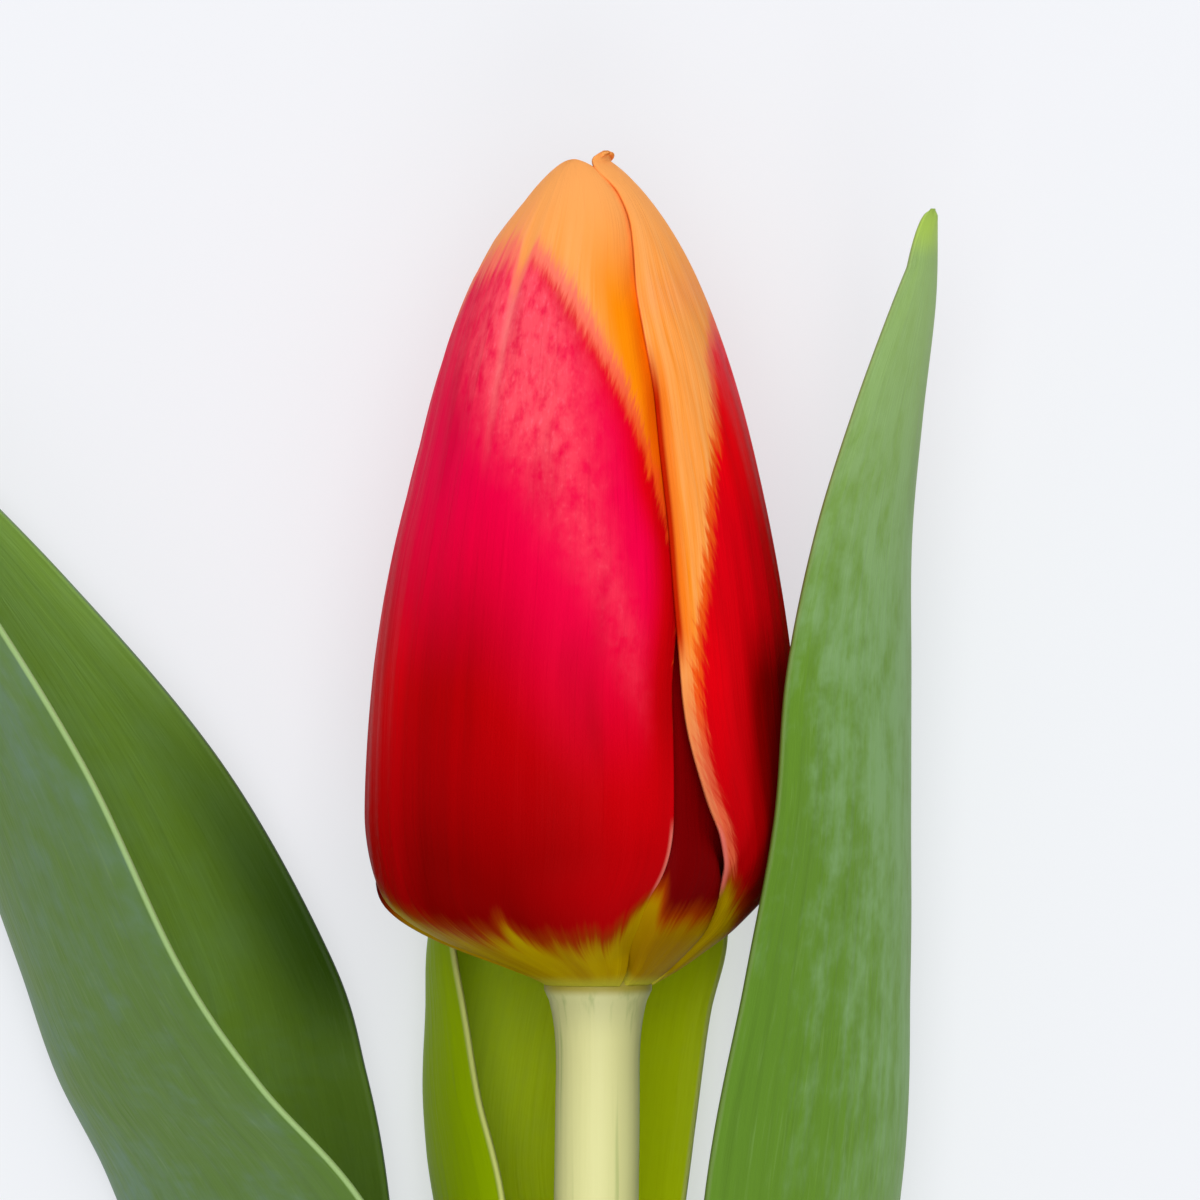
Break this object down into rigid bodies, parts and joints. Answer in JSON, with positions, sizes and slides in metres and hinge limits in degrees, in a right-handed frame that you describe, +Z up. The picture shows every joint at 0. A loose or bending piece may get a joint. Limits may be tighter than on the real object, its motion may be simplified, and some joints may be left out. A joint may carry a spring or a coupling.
{
  "type": "tulip",
  "caption": "Cut tulip in closed bud on a straight round stem with clasping, channelled lance-shaped leaves, lying on a surface.",
  "frame": {"origin": "centre of the bounding box, on the surface that the flower lies on", "axes": "+Z up from the surface, +Y along the flower from the cut end of the stem to the tip of the bud"},
  "size_m": [0.097, 0.3298, 0.0352],
  "materials": {
    "tepal": "satin petal tissue, red with orange margins and tip and a yellow-green claw",
    "leaf": "waxy leaf tissue with a grey-green bloom and fine lengthwise veins",
    "stem": "smooth pale green stalk with a slight sheen",
    "pistil": "smooth pale green with a velvety cream stigma",
    "stamen": "dusty dark anthers on pale filaments"
  },
  "bodies": {
    "root": {"stem": "stem", "outer_tepal_front": "tepal", "outer_tepal_right": "tepal", "outer_tepal_left": "tepal", "inner_tepal_front": "tepal", "inner_tepal_back": "tepal", "inner_tepal_left": "tepal", "leaf_left": "leaf", "leaf_right": "leaf", "leaf_back": "leaf", "pistil": "pistil", "stamens": "stamen"}
  },
  "joints": []
}
